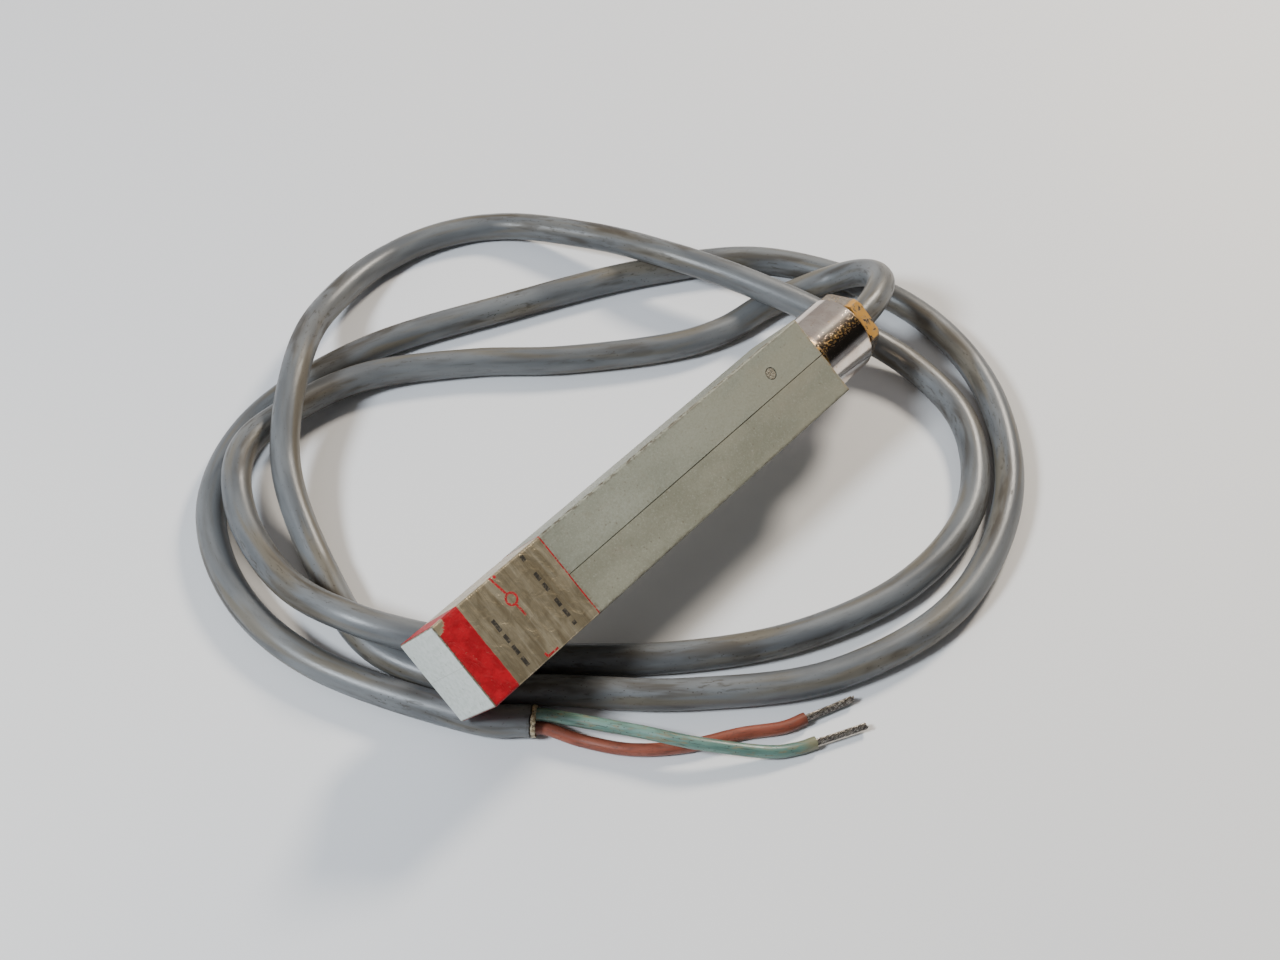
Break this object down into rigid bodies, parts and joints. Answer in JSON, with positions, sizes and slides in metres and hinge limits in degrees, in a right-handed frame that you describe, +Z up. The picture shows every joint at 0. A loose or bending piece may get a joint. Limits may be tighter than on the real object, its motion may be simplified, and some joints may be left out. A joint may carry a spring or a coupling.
{
  "type": "reed proximity sensor",
  "caption": "Square bar proximity sensor with a two-half casing, foil label, hexagonal cable gland and a loosely wound two-core cable that ends in bare leads.",
  "frame": {"origin": "centre of the sensing face, on the bar's long axis", "axes": "+X along the bar from the sensing face to the cable gland, +Z up; the bar lies rolled 34 degrees about X on its own cable, and the surface it lies on is at z = -0.0191"},
  "size_m": [0.1602, 0.1619, 0.0314],
  "materials": {
    "casing": "moulded, slightly glossy, stained by age",
    "casing_right": "moulded, slightly glossy, stained by age",
    "plug": "rough cast resin",
    "foil": "champagne metallic foil with a red band, creased",
    "gland": "nickel plated brass, worn",
    "screw": "nickel plated brass, worn through to the brass",
    "seal": "smooth rubber",
    "washer": "turned",
    "resin": "cast epoxy resin",
    "glass": "clear green glass",
    "cushion": "soft silicone",
    "reed_metal": "plated nickel iron",
    "contact": "polished contact metal",
    "shrink_sleeve": "heat shrink tube",
    "wire_white": "smooth wire insulation",
    "tinned_copper": "tinned twisted strands",
    "sheath": "grey PVC with brown dirt",
    "core_green": "smooth PVC",
    "core_brown": "smooth PVC"
  },
  "bodies": {
    "sensor": {"casing_left": "casing", "casing_right": "casing_right", "fill_plug": "plug", "foil_label": "foil", "gland_barrel": "gland", "gland_seal": "seal", "potting": "resin", "reed_glass": "glass", "reed_cushion": "cushion", "reed_stem_front": "reed_metal", "reed_stem_rear": "reed_metal", "joint_sleeve_front": "shrink_sleeve", "joint_sleeve_green": "shrink_sleeve", "joint_sleeve_brown": "shrink_sleeve", "return_wire": "wire_white", "return_conductor": "tinned_copper", "inner_core_green": "core_green", "inner_core_brown": "core_brown", "inner_conductor_green": "tinned_copper", "inner_conductor_brown": "tinned_copper", "sheath_inner": "sheath", "cable_sheath": "sheath", "sheath_end": "sheath", "core_green": "core_green", "core_brown": "core_brown", "strands_green": "tinned_copper", "strands_brown": "tinned_copper"},
    "washer": {"thrust_washer": "washer"},
    "screw": {"pressure_screw": "screw"},
    "front_blade": {"reed_blade_front": "reed_metal", "contact_pad_front": "contact"},
    "rear_blade": {"reed_blade_rear": "reed_metal", "contact_pad_rear": "contact"}
  },
  "joints": [
    {"name": "washer_slide", "type": "slide", "parent": "sensor", "child": "washer", "axis": [1, 0, 0], "range_m": [0, 0.00191]},
    {"name": "screw_turn", "type": "hinge", "parent": "washer", "child": "screw", "pos_m": [0.1168, 0, 0], "axis": [1, 0, 0], "range_deg": [0, 540]},
    {"name": "front_blade_flex", "type": "hinge", "parent": "sensor", "child": "front_blade", "pos_m": [0.0193, -0.00047, 0.00071], "axis": [0, 0.829, 0.5592], "range_deg": [0, 0.75], "stiffness_Nm_per_rad": 0.4},
    {"name": "rear_blade_flex", "type": "hinge", "parent": "sensor", "child": "rear_blade", "pos_m": [0.0587, 0.00047, -0.00071], "axis": [0, 0.829, 0.5592], "range_deg": [0, 0.75], "stiffness_Nm_per_rad": 0.4}
  ],
  "couplings": [
    {"joint": "washer_slide", "follows": "screw_turn", "m_per_rad": 0.00020213},
    {"joint": "rear_blade_flex", "follows": "front_blade_flex", "ratio": 1}
  ]
}
